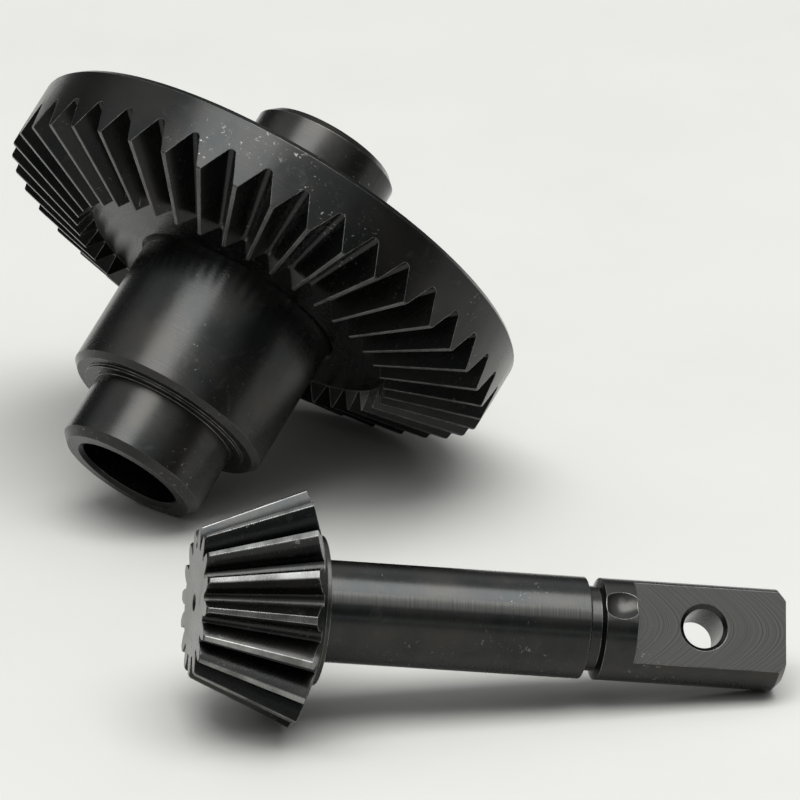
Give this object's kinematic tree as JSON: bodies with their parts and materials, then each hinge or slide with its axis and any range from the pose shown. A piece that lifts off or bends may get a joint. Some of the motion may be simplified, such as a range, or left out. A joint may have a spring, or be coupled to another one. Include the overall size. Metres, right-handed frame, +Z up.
{
  "type": "bevel gear pair",
  "caption": "Straight bevel gear pair lying loose: a crown wheel on a hollow spool with bearing journals, and a pinion cut on a shaft with a snap ring groove, drive flats and a cross hole.",
  "frame": {"origin": "middle of the pair's outline in plan, on the plane both gears lie on", "axes": "+Z up, out of the plane the gears lie on; the pinion lies in front, towards -Y, and its drive end points to +X; the crown wheel stands behind it, leaning on its rim and on the rim of its front journal"},
  "size_m": [0.039, 0.0498, 0.0235],
  "materials": {
    "crown_wheel": "satin black oxide, worn bright at the tooth crests",
    "spool_hub": "satin black oxide, turned, with a thin film of oil",
    "pinion_shaft": "satin black oxide, turned and milled, worn bright at the edges"
  },
  "bodies": {
    "ring": {"crown_wheel": "crown_wheel", "spool_hub": "spool_hub"},
    "pinion": {"pinion_shaft": "pinion_shaft"}
  },
  "joints": [
    {"name": "pinion_spin", "type": "hinge", "parent": "ring", "child": "pinion", "pos_m": [0.01021, -0.01685, 0.00369], "axis": [0.9788, 0.1522, -0.1372], "continuous": true}
  ]
}
